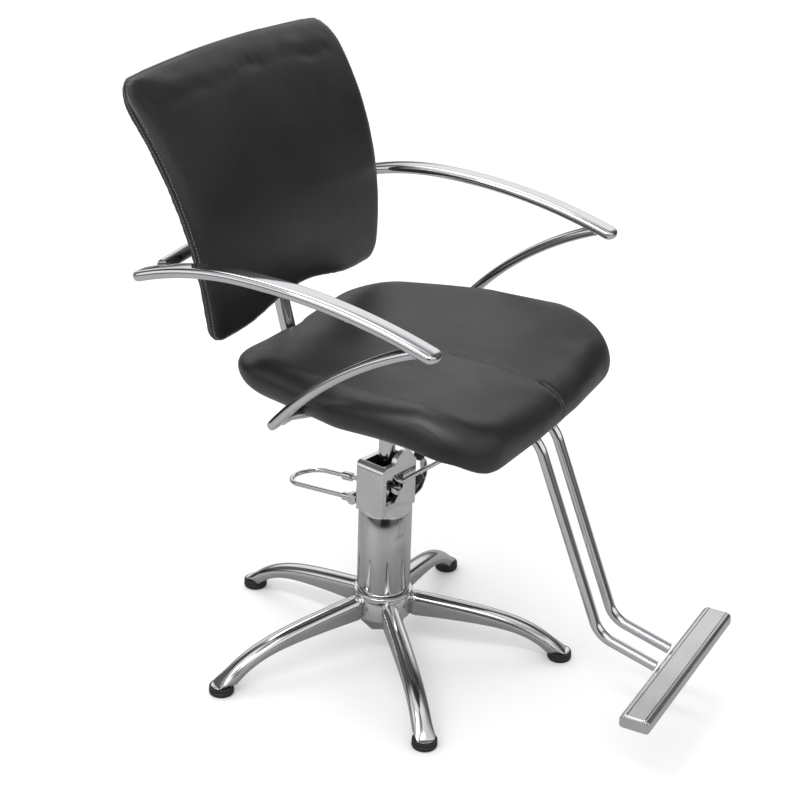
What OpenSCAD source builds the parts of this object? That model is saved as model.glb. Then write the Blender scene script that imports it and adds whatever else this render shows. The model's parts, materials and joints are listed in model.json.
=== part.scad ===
// Styling chair: padded seat and back on a foot-pumped hydraulic column with a five-leg base.
// Millimetres. Origin on the floor, on the column axis. +Z up. The sitter faces -Y.

/* [Base] */
// Distance from the column axis to each glide
foot_radius = 300; // [250:1:360]
// Direction of the first leg, degrees from +X
leg_turn = 5.6; // [0:0.1:72]
// Width of a leg at the hub
leg_width = 32; // [24:1:40]
// Hub diameter
hub_d = 96; // [90:1:110]
// Glide diameter
glide_d = 40; // [30:1:50]

/* [Column and pump] */
// Outside diameter of the column tube
column_d = 88; // [80:1:90]
// Height of the pump head's underside
head_z = 267; // [240:1:300]
// Piston rod diameter
rod_d = 27; // [24:0.5:30]
// Direction of the foot pedal, degrees from +X
head_turn = 77.6; // [0:0.1:90]
// How far the pedal loop reaches from the column axis
pedal_reach = 202; // [180:1:230]
// Length of the brake lever from its shaft
brake_reach = 160; // [120:1:170]

/* [Seat] */
// Height of the seat's underside
seat_z = 500; // [490:1:510]
// Half the seat's greatest width
seat_half = 276; // [260:1:280]
// Thickness of the seat pad
seat_pad = 70; // [60:1:80]

/* [Backrest] */
// Half the backrest's width at the top
back_half = 286; // [270:1:295]
// Radius of the backrest's front face
back_radius = 568; // [540:1:600]
// Height of the backrest's top edge
back_top = 985; // [960:1:1000]

/* [Arms and footrest] */
// Distance of each arm from the centre plane
arm_x = 314; // [308:1:320]
// Width of an arm's flat-oval tube
arm_w = 36; // [32:1:40]
// Thickness of an arm's flat-oval tube
arm_t = 16; // [14:1:21]
// Half the footplate's length
plate_half = 184; // [160:1:200]

/* [Hidden] */
$fn = 64;
eps = 0.01;
gap = 0.05;          // running clearance on a radius

chrome = [0.78, 0.79, 0.81];
cast = [0.72, 0.72, 0.72];
steel = [0.5, 0.5, 0.52];
black = [0.06, 0.06, 0.06];
hide = [0.09, 0.09, 0.1];
ply = [0.72, 0.55, 0.36];
bronze = [0.7, 0.5, 0.28];

// Base
glide_h = 15;
glide_stem_r = 4;
leg_pitch = 72;
hub_bottom = 70;
hub_top = 115;
foot_bore_r = 25;
nut_z = 50;

// Column and pump, heights on the axis
column_wall = 3;
cyl_r = 22;
cyl_bore_r = 18;
cyl_bottom = 84;
cyl_top = 268;
guide_top = 283;
seal_top = 287;
piston_bottom = 118;
piston_h = 26;
rod_r = rod_d / 2;
rod_stub_r = 7.5;
rod_top = 478;

// Pump head, in its own frame: u along the pedal, v across it
head_u = 29;         // half depth, towards the pedal
head_v = 43;         // half width
head_wall = 5;
head_top = 352;
head_floor = 283;
head_corner = 5;
shoulder_r = 12;
ear_v = -11;
ear_z = 346;
ear_r = 24;
ear_depth = 9;

// Foot pedal
pivot_u = 40;
pivot_z = 278;
shaft_r = 5;
pedal_v = 35;
pedal_rod_r = 4;
pedal_droop = 8;
plunger_u = 14;
plunger_v = 26;
plunger_r = 3.5;

// Brake and release levers
brake_v = 11;
brake_z = 309;
brake_u = -36;
brake_rod_r = 3.75;
brake_rise = 18;
release_u = -16;
release_z = 300;

// Seat
pan_t = 12;
pan_inset = 96;
plate_t = 5;
pan_z = seat_z - 3;
plate_z = pan_z - plate_t;
front_y = -300;
rear_y = 180;
crossbar_r = 10;
crossbar_y = 33;
crossbar_end_y = 15;
spine_r = 12.5;
spine_run_z = plate_z - spine_r - 0.5;

// Backrest: rings about an axis behind it, parallel to X
back_y = 726;
back_z = 620;
cushion_t = 20;
board_t = 9;
back_bottom = 600;
mount_angle = 12.75;
mount_d = back_radius - cushion_t - board_t - 1.2;

// Arms
arm_peak_y = 80;
arm_peak_z = 741;
arm_front_r = 940;
arm_rear_r = 489;
arm_front_a = 19.3;
arm_rear_a = 19.3;
strut_r = 540;
strut_w = 30;
strut_t = 15;
strut_y = -397.2;
strut_z = 182.8;
strut_a0 = 21;
meet_a = 17.7;       // slope of the arm where the strut meets it
strut_a1 = 50;
upper_end_y = 219;
upper_end_z = 725;
upper_r = 10;
upper_flat = 190;
lower_end_z = 531.6;
spine_top = 118;

// Footrest
foot_x = 30;
foot_r = 8.5;
foot_run_z = 478;
foot_drop = 68;
foot_tilt = 15.6;
foot_leg = 280;
foot_toe = 78;
plate_y = -519;
plate_mid_z = 124;
plate_w = 48;
plate_h = 22;

// ---- shared shapes -------------------------------------------------------------------------

// Stations along a planar path: [a, b, heading]. A step [length] is straight, and a step
// [radius, angle] turns left, or right when its angle is negative.
function stations(steps, at = [0, 0], heading = 0, i = 0) =
    i == len(steps) ? [[at[0], at[1], heading]] :
    let (step = steps[i])
    len(step) == 1
        ? concat([[at[0], at[1], heading]],
            stations(steps, at + step[0] * [cos(heading), sin(heading)], heading, i + 1))
        : let (
            side = sign(step[1]),
            n = ceil(abs(step[1]) / min(7.5, 60 / sqrt(step[0]))),
            mid = at + side * step[0] * [-sin(heading), cos(heading)],
            out = [for (k = [0:n]) let (h = heading + step[1] * k / n)
                [mid[0] + side * step[0] * sin(h), mid[1] - side * step[0] * cos(h), h]]
        )
        concat([for (k = [0:n - 1]) out[k]],
            stations(steps, [out[n][0], out[n][1]], heading + step[1], i + 1));

// Tube along stations in the YZ plane. Each section point is [across, outward], and a
// station's fourth and fifth values scale its section and stretch it outward.
module sweep(path, section) {
    n = len(section);
    last = len(path) - 1;
    points = [for (s = path, q = section)
        let (size = len(s) > 3 ? s[3] : 1, stretch = len(s) > 4 ? s[4] : 1, r = q[1] * size * stretch)
        [q[0] * size, s[0] - r * sin(s[2]), s[1] + r * cos(s[2])]];
    sides = [for (i = [0:last - 1], j = [0:n - 1])
        [i * n + j, i * n + (j + 1) % n, (i + 1) * n + (j + 1) % n, (i + 1) * n + j]];
    caps = [[for (j = [n - 1:-1:0]) j], [for (j = [0:n - 1]) last * n + j]];
    polyhedron(points, concat(sides, caps), convexity = 4);
}

function round_section(r, n = 20) = [for (i = [0:n - 1]) r * [cos(360 * i / n), sin(360 * i / n)]];

// Flat-oval section, w wide and t thick
function oval_section(w, t, n = 24) = [for (i = [0:n - 1]) let (a = 360 * (i + 0.5) / n)
    [sign(cos(a)) * (w - t) / 2 + cos(a) * t / 2, sin(a) * t / 2]];

// Stations that close a tube with a rounded tip of length l
function tip(at, l, ahead) = [for (k = [1:4]) let (d = l * sin(22 * k) * ahead)
    [at[0] + d * cos(at[2]), at[1] + d * sin(at[2]), at[2], cos(22 * k)]];

function reversed(v) = [for (i = [len(v) - 1:-1:0]) v[i]];

// Flat-oval outline: t thick along x, w wide along y
module oval(t, w) {
    square([t, w - t], center = true);
    translate([0, (w - t) / 2]) circle(d = t);
    translate([0, (t - w) / 2]) circle(d = t);
}

module ring(r_out, r_in, z0, z1) {
    translate([0, 0, z0]) difference() {
        cylinder(r = r_out, h = z1 - z0);
        translate([0, 0, -1]) cylinder(r = r_in, h = z1 - z0 + 2);
    }
}

// Hexagonal nut or bolt head, across-flats size
module hex(flats, h) {
    cylinder(d = flats / cos(30), h = h, $fn = 6);
}

// Children are drawn in the pump head's frame, x along the pedal and y across it
module in_head() {
    rotate([0, 0, head_turn]) children();
}

// Cylinder along the head's x axis
module along_u(r, u0, u1) {
    translate([u0, 0, 0]) rotate([0, 90, 0]) cylinder(r = r, h = u1 - u0);
}

// Cylinder along the head's y axis
module along_v(r, v0, v1) {
    translate([0, v0, 0]) rotate([-90, 0, 0]) cylinder(r = r, h = v1 - v0);
}

module rounded_rect(x, y, r) {
    hull() for (i = [-1, 1], j = [-1, 1])
        translate([i * (x / 2 - r), j * (y / 2 - r)]) circle(r = r);
}

module both_sides() {
    children();
    mirror([1, 0, 0]) children();
}

// ---- base ----------------------------------------------------------------------------------

// Side view of a leg in radius and height: a shallow arch that curls down onto its glide
function leg_top(s) = max(glide_h + 7, hub_top - 1 - 47 * s - 66 * pow(s, 5));
function leg_under(s) = max(glide_h, hub_bottom + 1 - 18 * s - 22 * pow(s, 3) - 72 * pow(s, 7));

module leg() {
    r0 = 34;
    span = foot_radius + leg_width / 2 - r0;
    steps = 24;
    upper = [for (i = [0:steps]) [r0 + span * i / steps, leg_top(i / steps)]];
    lower = [for (i = [steps:-1:0]) [r0 + span * i / steps, leg_under(i / steps)]];
    intersection() {
        rotate([90, 0, 0]) linear_extrude(leg_width + 8, center = true)
            polygon(concat(upper, lower));
        union() {
            translate([r0, -leg_width / 2, 0]) cube([foot_radius - r0, leg_width, 150]);
            translate([foot_radius, 0, 0]) cylinder(d = leg_width, h = 150);
        }
    }
}

module star_base() {
    color(cast) difference() {
        union() {
            for (i = [0:4]) rotate([0, 0, leg_turn + leg_pitch * i]) leg();
            translate([0, 0, hub_bottom]) cylinder(d = hub_d, h = hub_top - hub_bottom);
        }
        translate([0, 0, hub_bottom - 1]) cylinder(r = foot_bore_r, h = hub_top);
        for (i = [0:4]) rotate([0, 0, leg_turn + leg_pitch * i])
            translate([foot_radius, 0, 0]) cylinder(r = glide_stem_r, h = glide_h + 5);
    }
}

module base_glides() {
    color(black) for (i = [0:4]) rotate([0, 0, leg_turn + leg_pitch * i])
        translate([foot_radius, 0, 0]) {
            cylinder(d1 = glide_d - 4, d2 = glide_d, h = 3);
            translate([0, 0, 3]) cylinder(d = glide_d, h = glide_h - 7);
            translate([0, 0, glide_h - 4]) cylinder(d1 = glide_d, d2 = glide_d - 8, h = 4);
            cylinder(r = glide_stem_r - gap, h = glide_h + 4);
        }
}

module column_tube() {
    color(chrome) ring(column_d / 2, column_d / 2 - column_wall, hub_top, head_z - 4 - gap);
}

// Spigot that stands in the hub and carries the oil cylinder
module column_foot() {
    color(steel) difference() {
        union() {
            translate([0, 0, hub_bottom - 12]) cylinder(r = foot_bore_r - gap, h = 60);
            translate([0, 0, hub_top]) cylinder(r = column_d / 2 - column_wall - gap, h = 14);
        }
        translate([0, 0, cyl_bottom]) cylinder(r = cyl_r, h = 60);
        translate([0, 0, hub_bottom - 13]) cylinder(r = 6, h = 14);
    }
}

module base_washer() {
    color(steel) ring(34, foot_bore_r + 0.5, hub_bottom - 4, hub_bottom);
}

module base_nut() {
    color(steel) difference() {
        translate([0, 0, nut_z]) hex(62, hub_bottom - 4 - nut_z);
        translate([0, 0, nut_z - 1]) cylinder(r = foot_bore_r, h = 30);
    }
}

// ---- pump ----------------------------------------------------------------------------------

module oil_cylinder() {
    color(steel) difference() {
        translate([0, 0, cyl_bottom]) cylinder(r = cyl_r - gap, h = cyl_top - cyl_bottom);
        translate([0, 0, cyl_bottom + 8]) cylinder(r = cyl_bore_r, h = 260);
    }
}

module rod_guide() {
    color(bronze) ring(cyl_r - gap, rod_r + gap, cyl_top, guide_top - 4 - gap);
}

module rod_seal() {
    color(black) ring(18, rod_r + gap, guide_top - 4, seal_top);
}

// Upper wall of the head, rounded over along the two edges that run with the pedal
module head_block(u, v, z1, shoulder) {
    intersection() {
        translate([0, 0, head_z]) linear_extrude(z1 - head_z)
            rounded_rect(2 * u, 2 * v, head_corner);
        translate([-u - 1, 0, 0]) rotate([90, 0, 90]) linear_extrude(2 * u + 2) union() {
            translate([-v, head_z - 1]) square([2 * v, z1 - shoulder - head_z + 1]);
            translate([shoulder - v, head_z]) square([2 * (v - shoulder), z1 - head_z]);
            for (i = [-1, 1]) translate([i * (v - shoulder), z1 - shoulder])
                circle(r = shoulder);
        }
    }
}

// Cavity that opens at the top; its roof follows the rolled shoulders.
module head_cavity(v, r, z) {
    u = head_u - ear_depth;
    translate([-u, 0, 0]) rotate([90, 0, 90]) linear_extrude(2 * u) union() {
        translate([-v, head_floor]) square([2 * v, z - head_floor]);
        translate([r - v, head_floor]) square([2 * (v - r), 120]);
        for (i = [-1, 1]) translate([i * (v - r), z]) circle(r = r);
    }
}
module pump_head() {
    color(cast) in_head() difference() {
        union() {
            head_block(head_u, head_v, head_top, shoulder_r);
            translate([0, ear_v, ear_z]) along_u(ear_r, -head_u, -head_u + ear_depth);
            translate([0, 0, head_z - 4]) cylinder(r = column_d / 2, h = 4 + eps);
            translate([0, 0, head_z - 14])
                cylinder(r = column_d / 2 - column_wall - gap, h = 14);
            for (v = [-16, 16]) translate([head_u - 4, v - 4, head_z]) cube([22, 8, 20]);
        }
        head_cavity(head_v - head_wall, shoulder_r - head_wall, head_top - shoulder_r);
        translate([0, 0, head_z - 20]) cylinder(r = cyl_r, h = 20 + guide_top - 4 - head_z);
        translate([0, 0, guide_top - 5]) cylinder(r = 18, h = 20);
        // window for the brake shaft
        translate([-head_u - 1, 0, 0]) rotate([90, 0, 90]) linear_extrude(20)
            polygon([[-8, 331], [33, 331], [33, 285], [12, 285], [1, 297], [-8, 306]]);
        // window for the pedal shaft's fork
        translate([10, plunger_v - 8, head_floor]) cube([head_u - 8, 16, 24]);
        translate([pivot_u, 0, pivot_z]) along_v(shaft_r + gap, -60, 60);
        translate([plunger_u, plunger_v, 240]) cylinder(r = plunger_r + 2.5, h = 60);
        // seat of the release lever's bush
        translate([release_u, 0, release_z]) along_v(5, -head_v - 5, 0);
    }
}

// Shaft across the head with a fork that lifts the pump plunger
module pedal_shaft() {
    color(steel) in_head() translate([pivot_u, 0, pivot_z]) {
        along_v(shaft_r, -pedal_v + 7.2, pedal_v - 7.2);
        along_v(7.5, 21, 27.8);
        translate([-8, 21, 0]) cube([8, 6.8, 12]);
        translate([-14, 21, 6]) cube([14, 6.8, 6]);
        translate([-33, plunger_v - 5.7, 6]) difference() {
            cube([22.5, 11.4, 6]);
            translate([-1, 1.9, -1]) cube([15, 7.6, 8]);
        }
    }
}

module pedal_collars() {
    color(chrome) in_head() translate([pivot_u, 0, pivot_z]) {
        for (v = [-pedal_v, pedal_v]) translate([0, v, 0]) difference() {
            union() {
                along_v(10, -6, 6);
                rotate([0, 90 + pedal_droop, 0]) cylinder(r = 7, h = 20);
            }
            rotate([0, 90 + pedal_droop, 0]) translate([0, 0, 8])
                cylinder(r = pedal_rod_r + gap, h = 20);
            along_v(shaft_r, v > 0 ? -7 : -6 + eps, v > 0 ? 0 : 7);
        }
        // grip sleeve on the far rod
        rotate([0, 90 + pedal_droop, 0]) translate([0, -pedal_v, 66]) difference() {
            cylinder(r = 7.5, h = 18);
            translate([0, 0, -1]) cylinder(r = pedal_rod_r + gap, h = 20);
        }
    }
}

module pedal_loop() {
    straight = (pedal_reach - pivot_u) / cos(pedal_droop) - 8.2 - pedal_v - pedal_rod_r;
    loop = stations([[straight], [pedal_v, -180], [straight]], [8.2, pedal_v]);
    color(chrome) in_head() translate([pivot_u, 0, pivot_z]) rotate([0, pedal_droop, 0])
        rotate([0, -90, -90]) mirror([1, 0, 0]) sweep(loop, round_section(pedal_rod_r, 16));
}

module pump_plunger() {
    color(steel) in_head() translate([plunger_u, plunger_v, 0]) {
        translate([0, 0, 254]) cylinder(r = plunger_r, h = 46);
        translate([0, 0, 292]) cylinder(r = 5, h = 4);
    }
}

module plunger_gland() {
    color(bronze) in_head() translate([plunger_u, plunger_v, 0])
        ring(plunger_r + 2.4, plunger_r + gap, 256, 280);
}

module piston() {
    color(steel) difference() {
        ring(cyl_bore_r - gap, rod_stub_r + gap, piston_bottom, piston_bottom + piston_h);
        ring(cyl_bore_r + 1, cyl_bore_r - 3, piston_bottom + 10, piston_bottom + 16);
    }
}

module piston_seal() {
    color(black) ring(cyl_bore_r - gap, cyl_bore_r - 3, piston_bottom + 10.2, piston_bottom + 15.8);
}

module piston_rod() {
    shoulder = piston_bottom + piston_h + 0.2;
    color(chrome) {
        translate([0, 0, shoulder]) cylinder(r = rod_r, h = rod_top - shoulder);
        translate([0, 0, piston_bottom + 1]) cylinder(r = rod_stub_r, h = piston_h);
    }
}

// ---- brake and release levers --------------------------------------------------------------

module brake_shoe() {
    color(bronze) in_head() difference() {
        translate([-22, brake_v - 6, brake_z - 9]) cube([15, 4, 18]);
        cylinder(r = rod_r + 0.5, h = 500);
    }
}

module brake_lever() {
    arm = stations([[brake_rise - 6], [6, 90], [brake_reach - 24]], [1, 0], 90);
    color(chrome) in_head() translate([0, brake_v, brake_z]) {
        translate([brake_u - 6, -5, -6]) cube([18, 12, 12]);
        along_u(4.5, brake_u - 8, -22.3);
        translate([brake_u, 0, 0]) sweep([for (s = arm) [s[0], s[1], s[2]]],
            round_section(brake_rod_r, 16));
    }
}

module brake_knob() {
    color(black) in_head()
        translate([brake_u, brake_v - brake_reach - 5, brake_z + brake_rise]) sphere(r = 13);
}

module release_bush() {
    color(bronze) in_head() translate([release_u, 0, release_z])
        along_v(4.9, -head_v - 3, -head_v + 4);
}

module release_lever() {
    arm = stations([[12], [16, -120], [10]], [-2, -2], 180);
    color(chrome) in_head() translate([release_u, -head_v - 3.2, release_z]) {
        along_v(8, -5, 0);
        sweep(arm, round_section(3, 12));
    }
}

module release_knob() {
    color(black) in_head() translate([release_u, -head_v - 20, release_z + 41]) sphere(r = 9.4);
}

// ---- seat ----------------------------------------------------------------------------------

module seat_socket() {
    color(steel) difference() {
        translate([0, 0, 398]) cylinder(r = 21.5, h = plate_z - 398);
        translate([0, 0, 397]) cylinder(r = rod_r + gap, h = rod_top + 1 - 397);
    }
}

// Bolt places in the seat plate
module at_bolts() {
    for (x = [-95, 95], y = [-100, 100]) translate([x, y, 0]) children();
}

module seat_plate() {
    color(steel) translate([0, 0, plate_z]) difference() {
        linear_extrude(plate_t) rounded_rect(230, 250, 18);
        at_bolts() translate([0, 0, -1]) cylinder(r = 4.3, h = 10);
    }
}

module seat_outline(inset) {
    hull() both_sides() {
        corner_disc(seat_half - 84, -204, 84, inset, 1);
        corner_disc(seat_half - 92, -60, 92, inset, 0);
        corner_disc(132, rear_y - 104, 102, inset, -1);
        corner_disc(60, front_y + 212, 208, inset, 1);
    }
}

// Disc of an outline's corner; past its own radius an inset moves the disc inward, way 1 rearward
module corner_disc(x, y, r, inset, way) {
    over = max(0, inset - r + 6);
    translate([x - over, y + way * over]) circle(r = r - inset + over);
}

module seat_pan() {
    color(ply) translate([0, 0, pan_z]) difference() {
        linear_extrude(pan_t) seat_outline(pan_inset);
        at_bolts() translate([0, 0, -1]) cylinder(r = 4.3, h = 20);
        translate([0, rear_y, -1]) cylinder(r = 60, h = 20);
        translate([0, 0, -pan_z]) crossbar_sweep(crossbar_r + 1);
    }
}

module seat_bolts() {
    color(steel) at_bolts() {
        translate([0, 0, plate_z - 5.2]) hex(13, 5);
        translate([0, 0, plate_z - 3]) cylinder(r = 4, h = 18);
    }
}

module seat_cushion() {
    color(hide) difference() {
        hull() {
            translate([0, 0, seat_z + 0.3]) linear_extrude(1) seat_outline(105);
            translate([0, 0, seat_z + 33]) linear_extrude(4) seat_outline(6);
            translate([0, 0, seat_z + 40]) linear_extrude(6) seat_outline(0);
            translate([0, 0, seat_z + seat_pad - 1]) linear_extrude(1) seat_outline(24);
            translate([0, front_y + 24, seat_z + 1]) rotate([0, 90, 0])
                cylinder(r = 23.5, h = 340, center = true, $fn = 32);
        }
        translate([0, 0, pan_z - 30]) linear_extrude(pan_t + 30.3) seat_outline(pan_inset - 1);
        spine_sweep(spine_r + 2);
        footrest_sweeps(foot_r + 1);
        crossbar_sweep(crossbar_r + 1);
    }
}

module crossbar_sweep(r) {
    knee_r = 40;
    knee_a = 20;
    end_run = 14;
    forward = crossbar_end_y - crossbar_y;
    up = lower_end_z - crossbar_z();
    rise = norm([forward, up]);
    slant = (rise - 2 * knee_r * (1 - cos(knee_a))) / sin(knee_a);
    end = arm_x - strut_w / 2 - gap;
    flat = end - end_run - 2 * knee_r * sin(knee_a) - slant * cos(knee_a);
    half = stations([[flat], [knee_r, knee_a], [slant], [knee_r, -knee_a], [end_run]]);
    path = concat([for (s = reversed(half)) [-s[0], s[1], -s[2]]],
        [for (i = [1:len(half) - 1]) half[i]]);
    translate([0, crossbar_y, crossbar_z()]) rotate([-atan2(forward, up), 0, 0])
        rotate([0, 0, -90]) sweep(path, round_section(r));
}

module tube_saddles() {
    color(steel) {
        // front block that holds the footrest tubes
        difference() {
            translate([-52, -118, foot_run_z - 13]) cube([104, 44, plate_z - foot_run_z + 12.8]);
            for (x = [-foot_x, foot_x]) translate([x, 0, foot_run_z])
                along_v(foot_r + gap, -130, -60);
        }
        // rear block that holds the spine tube
        difference() {
            translate([-22, 60, spine_run_z - 17]) cube([44, 56, plate_z - spine_run_z + 16.8]);
            translate([0, 0, spine_run_z]) along_v(spine_r + gap, 50, 130);
        }
        // side blocks that hold the lower crossbar
        both_sides() difference() {
            translate([56, crossbar_y - 16, plate_z - 25]) cube([28, 32, 24.8]);
            translate([50, crossbar_y, crossbar_z()]) along_u(crossbar_r + gap, 0, 40);
        }
    }
}

function crossbar_z() = plate_z - crossbar_r - 1;

// ---- backrest ------------------------------------------------------------------------------

// Ring sector about the backrest's axis, from radius r0 out to r1
module back_shell(r0, r1, a0, a1) {
    translate([0, back_y, back_z]) rotate([0, 90, 0]) rotate([0, 0, 180 - a1 + 90])
        rotate_extrude(angle = a1 - a0, $fn = 180) translate([r0, -320])
        square([r1 - r0, 640]);
}

// Half width of the backrest at height z
function back_w(z) = back_half - 44 * pow(1 - (z - back_bottom) / 390, 1.6);

// Front view of the backrest in x and z
module back_outline(inset) {
    corner = 34;
    low = 24;
    n = 24;
    z0 = back_bottom + low;
    z1 = back_top - corner - 8;
    side = [for (i = [0:n]) [back_w(z0 + (z1 - z0) * i / n) - inset, z0 + (z1 - z0) * i / n]];
    top_a = [for (a = [0:10:80]) [back_w(z1) - corner + (corner - inset) * cos(a),
        z1 + (corner - inset) * sin(a)]];
    crown = [for (i = [1:8]) [(back_w(z1) - corner) * (1 - i / 8),
        z1 + corner - inset + 8 * (1 - pow(1 - i / 8, 2))]];
    arch = [for (i = [0:10]) [18 * i, back_bottom + inset + 22 * pow(cos(9 * i), 2)]];
    foot = [for (a = [-80:10:0]) [back_w(z0) - low + (low - inset) * cos(a),
        z0 + (low - inset) * sin(a)]];
    half = concat(arch, foot, side, top_a, crown);
    other = [for (i = [len(half) - 2:-1:1]) [-half[i][0], half[i][1]]];
    polygon(concat(half, other));
}

module back_cushion() {
    color(hide) intersection() {
        back_shell(back_radius - cushion_t, back_radius, -6, 40);
        translate([0, 500, 0]) rotate([90, 0, 0]) linear_extrude(500) back_outline(0);
    }
}

module back_board() {
    outer = back_radius - cushion_t - 0.2;
    color(hide) difference() {
        intersection() {
            back_shell(outer - board_t + 0.2, outer, -6, 40);
            translate([0, 500, 0]) rotate([90, 0, 0]) linear_extrude(500) back_outline(14);
        }
        at_back_screws() translate([0, 0, -30]) cylinder(r = 2.1, h = 40);
    }
}

// Frame on the rear of the backrest: z points back out of it, y up it
module on_back() {
    translate([0, back_y, back_z]) rotate([-mount_angle, 0, 0]) translate([0, -mount_d, 0])
        rotate([-90, 0, 0]) rotate([0, 0, 180]) children();
}

module at_back_screws() {
    on_back() for (x = [-60, 60], y = [-24, 24]) translate([x, y, 0]) children();
}

module back_plate() {
    color(steel) difference() {
        on_back() linear_extrude(4) rounded_rect(150, 66, 8);
        at_back_screws() translate([0, 0, -1]) cylinder(r = 2.6, h = 10);
    }
}

module back_screws() {
    color(steel) at_back_screws() {
        translate([0, 0, 4.1]) cylinder(r1 = 5, r2 = 3.5, h = 2.6);
        translate([0, 0, -7]) cylinder(r = 2, h = 12);
    }
}

// ---- frame tubes ---------------------------------------------------------------------------

// Arm: two arcs that meet at the peak, closed by rounded tips
module arm(x) {
    front = stations([[arm_front_r, arm_front_a]], [arm_peak_y, arm_peak_z], 180);
    rear = stations([[arm_rear_r, -arm_rear_a]], [arm_peak_y, arm_peak_z], 0);
    back = [for (i = [1:len(rear) - 1]) rear[i]];
    lead = [for (s = reversed(front)) [s[0], s[1], s[2] - 180]];
    path = concat(reversed(tip(lead[0], 15, -1)), lead, back, tip(back[len(back) - 1], 15, 1));
    color(chrome) translate([x, 0, 0]) sweep(path, oval_section(arm_w, arm_t));
}

module arm_right() {
    arm(-arm_x);
}

module arm_left() {
    arm(arm_x);
}

// Strut: an arc from the arm's underside down to a rounded tip beside the seat
module strut(x) {
    on_arc = [for (a = [strut_a0 + 1.5, for (i = [1:10]) strut_a0 + (strut_a1 - strut_a0) * i / 10])
        [strut_y + strut_r * sin(a), strut_z + strut_r * cos(a), -a]];
    start = [strut_y + strut_r * sin(strut_a0), strut_z + strut_r * cos(strut_a0) + 1.5,
        meet_a - 90, 1, 1 / cos(90 - meet_a - strut_a0)];
    path = concat([start], on_arc, tip(on_arc[10], 12, 1));
    color(chrome) translate([x, 0, 0]) sweep(path, oval_section(strut_w, strut_t));
}

module strut_right() {
    strut(-arm_x);
}

module strut_left() {
    strut(arm_x);
}

// Tube across the back of the frame, bowed rearwards to pass behind the backrest
module upper_crossbar() {
    rise = [mid_y() - upper_end_y, mid_z() - upper_end_z];
    end = arm_x - arm_w / 2 - 0.4;
    knee = 30;
    slope = atan2(norm(rise), end - upper_flat);
    run_in = knee * tan(slope / 2);
    half = stations([[upper_flat - run_in], [knee, -slope],
        [(end - upper_flat) / cos(slope) - run_in]]);
    path = concat([for (s = reversed(half)) [-s[0], s[1], -s[2]]],
        [for (i = [1:len(half) - 1]) half[i]]);
    color(chrome) translate([0, mid_y(), mid_z()]) rotate([-atan2(rise[0], rise[1]), 0, 0])
        rotate([0, 0, -90]) sweep(path, round_section(upper_r));
}

function mid_y() = back_y - (mount_d - 4.1 - upper_r) * cos(mount_angle);
function mid_z() = back_z + (mount_d - 4.1 - upper_r) * sin(mount_angle);

// Tube under the seat, cranked up at both ends to meet the struts
module lower_crossbar() {
    color(chrome) crossbar_sweep(crossbar_r);
}

// Path of the spine tube: back under the seat, up behind it, then up the backrest
module spine_sweep(r) {
    sweep(stations([[91], [45, 75], [74], [90, 8.6], [spine_top]], [46, spine_run_z]),
        round_section(r));
}

module spine_tube() {
    color(chrome) spine_sweep(spine_r);
}

// ---- footrest ------------------------------------------------------------------------------

// Paths of the two tubes: forward under the seat, down the front, then out to the footplate
module footrest_sweeps(r) {
    path = stations([[147.8], [60, foot_drop], [foot_leg], [45, foot_tilt - foot_drop],
        [foot_toe]], [-80, foot_run_z], 180);
    for (x = [-foot_x, foot_x]) translate([x, 0, 0]) sweep(path, round_section(r));
}

module footrest_tubes() {
    color(chrome) footrest_sweeps(foot_r);
}

module plate_section(grow) {
    rotate(90) oval(plate_h + 2 * grow, plate_w + 2 * grow);
}

module footplate() {
    color(chrome) translate([0, plate_y, plate_mid_z]) rotate([90, 0, 90])
        linear_extrude(2 * plate_half, center = true) difference() {
            plate_section(0);
            plate_section(-2);
        }
}

module footplate_caps() {
    color(black) both_sides() translate([plate_half - 6, plate_y, plate_mid_z])
        rotate([90, 0, 90]) linear_extrude(6) plate_section(-2 - gap);
}

star_base();
base_glides();
column_tube();
column_foot();
base_washer();
base_nut();
oil_cylinder();
rod_guide();
rod_seal();
pump_head();
pedal_shaft();
pedal_collars();
pedal_loop();
pump_plunger();
plunger_gland();
piston();
piston_seal();
piston_rod();
brake_shoe();
brake_lever();
brake_knob();
release_bush();
release_lever();
release_knob();
seat_socket();
seat_plate();
seat_pan();
seat_bolts();
seat_cushion();
tube_saddles();
spine_tube();
back_plate();
back_screws();
back_board();
back_cushion();
arm_right();
arm_left();
strut_right();
strut_left();
upper_crossbar();
lower_crossbar();
footrest_tubes();
footplate();
footplate_caps();
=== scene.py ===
"""Looks of the styling chair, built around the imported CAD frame. Metres, +Z up, the sitter faces -Y."""

import json
import math

import bmesh
import bpy
import numpy as np
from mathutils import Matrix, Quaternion, Vector
from mathutils.bvhtree import BVHTree


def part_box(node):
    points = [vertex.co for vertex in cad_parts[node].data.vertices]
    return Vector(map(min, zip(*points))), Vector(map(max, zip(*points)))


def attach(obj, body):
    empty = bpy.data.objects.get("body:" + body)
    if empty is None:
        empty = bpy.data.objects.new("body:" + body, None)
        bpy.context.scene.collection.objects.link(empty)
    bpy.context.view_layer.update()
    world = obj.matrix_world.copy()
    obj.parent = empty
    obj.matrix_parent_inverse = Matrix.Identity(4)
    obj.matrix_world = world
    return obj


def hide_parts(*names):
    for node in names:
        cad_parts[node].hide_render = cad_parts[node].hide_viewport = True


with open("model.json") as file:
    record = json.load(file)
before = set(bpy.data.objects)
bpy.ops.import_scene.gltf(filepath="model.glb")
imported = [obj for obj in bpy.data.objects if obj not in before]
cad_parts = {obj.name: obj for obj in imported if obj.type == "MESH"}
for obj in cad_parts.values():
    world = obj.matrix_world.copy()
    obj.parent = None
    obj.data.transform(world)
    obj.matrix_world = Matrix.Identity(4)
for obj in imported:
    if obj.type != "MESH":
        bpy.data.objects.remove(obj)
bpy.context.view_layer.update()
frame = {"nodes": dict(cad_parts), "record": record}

# Base
LEGS = 5
LEG_TURN = math.radians(5.6)
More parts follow.
